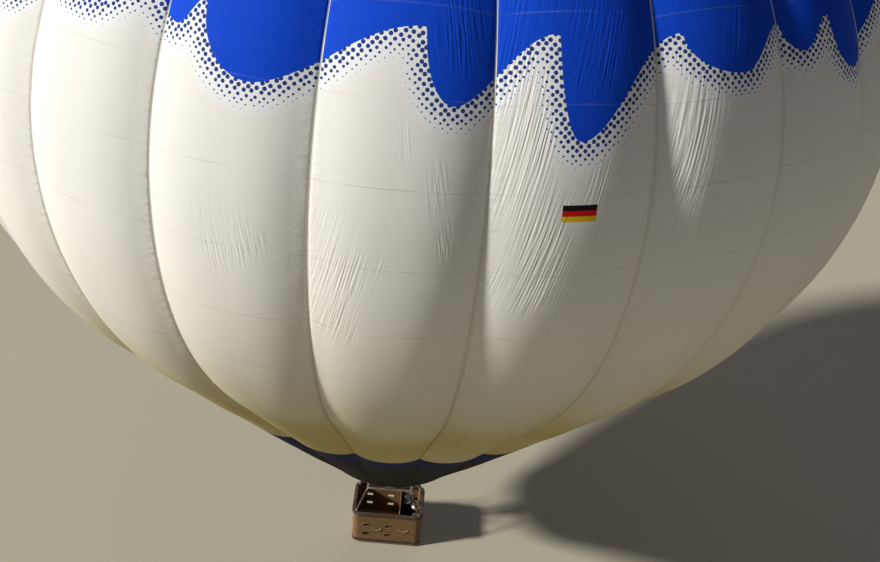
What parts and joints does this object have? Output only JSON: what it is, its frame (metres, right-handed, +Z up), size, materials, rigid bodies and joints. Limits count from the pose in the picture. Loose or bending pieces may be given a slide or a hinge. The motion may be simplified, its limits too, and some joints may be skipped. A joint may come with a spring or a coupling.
{
  "type": "hot air balloon",
  "caption": "Inflated hot air balloon with a gored fabric envelope, parachute valve, flying wires, gimballed burner and wicker basket.",
  "frame": {"origin": "on the vertical axis, at the height of the envelope's widest circle, where the surrounding air holds the balloon up", "axes": "+Z up along the envelope's axis, +X along the basket's length towards the pilot's end, -Y towards the side seen in the picture"},
  "size_m": [22.52, 22.52, 25.0552],
  "materials": {
    "envelope_fabric": "coated ripstop nylon, cream white with blue crown",
    "load_tape": "woven polyester tape",
    "valve_fabric": "coated ripstop nylon, blue",
    "mouth_fabric": "flame resistant cloth, matt navy",
    "wire_steel": "stranded stainless wire",
    "frame_steel": "satin stainless tube",
    "burner_brass": "machined and slightly tarnished",
    "can_steel": "perforated sheet, heat tinted at the rim",
    "coil_steel": "heat tinted tube",
    "sleeve_leather": "padded leather sleeve, laced",
    "wicker": "woven willow and cane, varnished",
    "rim_leather": "padded leather, stitched",
    "floor_plywood": "sealed plywood",
    "runner_wood": "scuffed hardwood",
    "cylinder_aluminium": "brushed, in a padded jacket"
  },
  "bodies": {
    "balloon": {"gore_01": "envelope_fabric", "gore_02": "envelope_fabric", "gore_03": "envelope_fabric", "gore_04": "envelope_fabric", "gore_05": "envelope_fabric", "gore_06": "envelope_fabric", "gore_07": "envelope_fabric", "gore_08": "envelope_fabric", "gore_09": "envelope_fabric", "gore_10": "envelope_fabric", "gore_11": "envelope_fabric", "gore_12": "envelope_fabric", "gore_13": "envelope_fabric", "gore_14": "envelope_fabric", "gore_15": "envelope_fabric", "gore_16": "envelope_fabric", "gore_17": "envelope_fabric", "gore_18": "envelope_fabric", "gore_19": "envelope_fabric", "gore_20": "envelope_fabric", "gore_21": "envelope_fabric", "gore_22": "envelope_fabric", "gore_23": "envelope_fabric", "gore_24": "envelope_fabric", "crown_ring_and_tapes": "load_tape", "mouth_cable": "mouth_fabric", "flying_wires_front_right": "wire_steel", "flying_wires_back_right": "wire_steel", "flying_wires_back_left": "wire_steel", "flying_wires_front_left": "wire_steel", "load_frame": "frame_steel", "pole_front_right": "sleeve_leather", "pole_back_right": "sleeve_leather", "pole_back_left": "sleeve_leather", "pole_front_left": "sleeve_leather", "basket_wall": "wicker", "basket_partition": "wicker", "rim_pad": "rim_leather", "basket_floor": "floor_plywood", "runner_front": "runner_wood", "runner_middle": "runner_wood", "runner_back": "runner_wood", "fuel_cylinder_front_inner": "cylinder_aluminium", "fuel_cylinder_front_outer": "cylinder_aluminium", "fuel_cylinder_back_inner": "cylinder_aluminium", "fuel_cylinder_back_outer": "cylinder_aluminium"},
    "valve": {"parachute_valve": "valve_fabric"},
    "gimbal_ring": {"burner_gimbal_ring": "frame_steel"},
    "burner": {"burner_block": "burner_brass", "burner_can_left": "can_steel", "burner_can_right": "can_steel", "burner_coil_left": "coil_steel", "burner_coil_right": "coil_steel"}
  },
  "joints": [
    {"name": "valve_drop", "type": "slide", "parent": "balloon", "child": "valve", "axis": [0, 0, 1], "range_m": [-1.2, 0], "stiffness_N_per_m": 120, "springref_m": 2},
    {"name": "gimbal_tilt", "type": "hinge", "parent": "balloon", "child": "gimbal_ring", "pos_m": [0, 0, -14.66492], "axis": [1, 0, 0], "range_deg": [-15, 15]},
    {"name": "burner_tilt", "type": "hinge", "parent": "gimbal_ring", "child": "burner", "pos_m": [0, 0, -14.66492], "axis": [0, 1, 0], "range_deg": [-15, 15]}
  ]
}
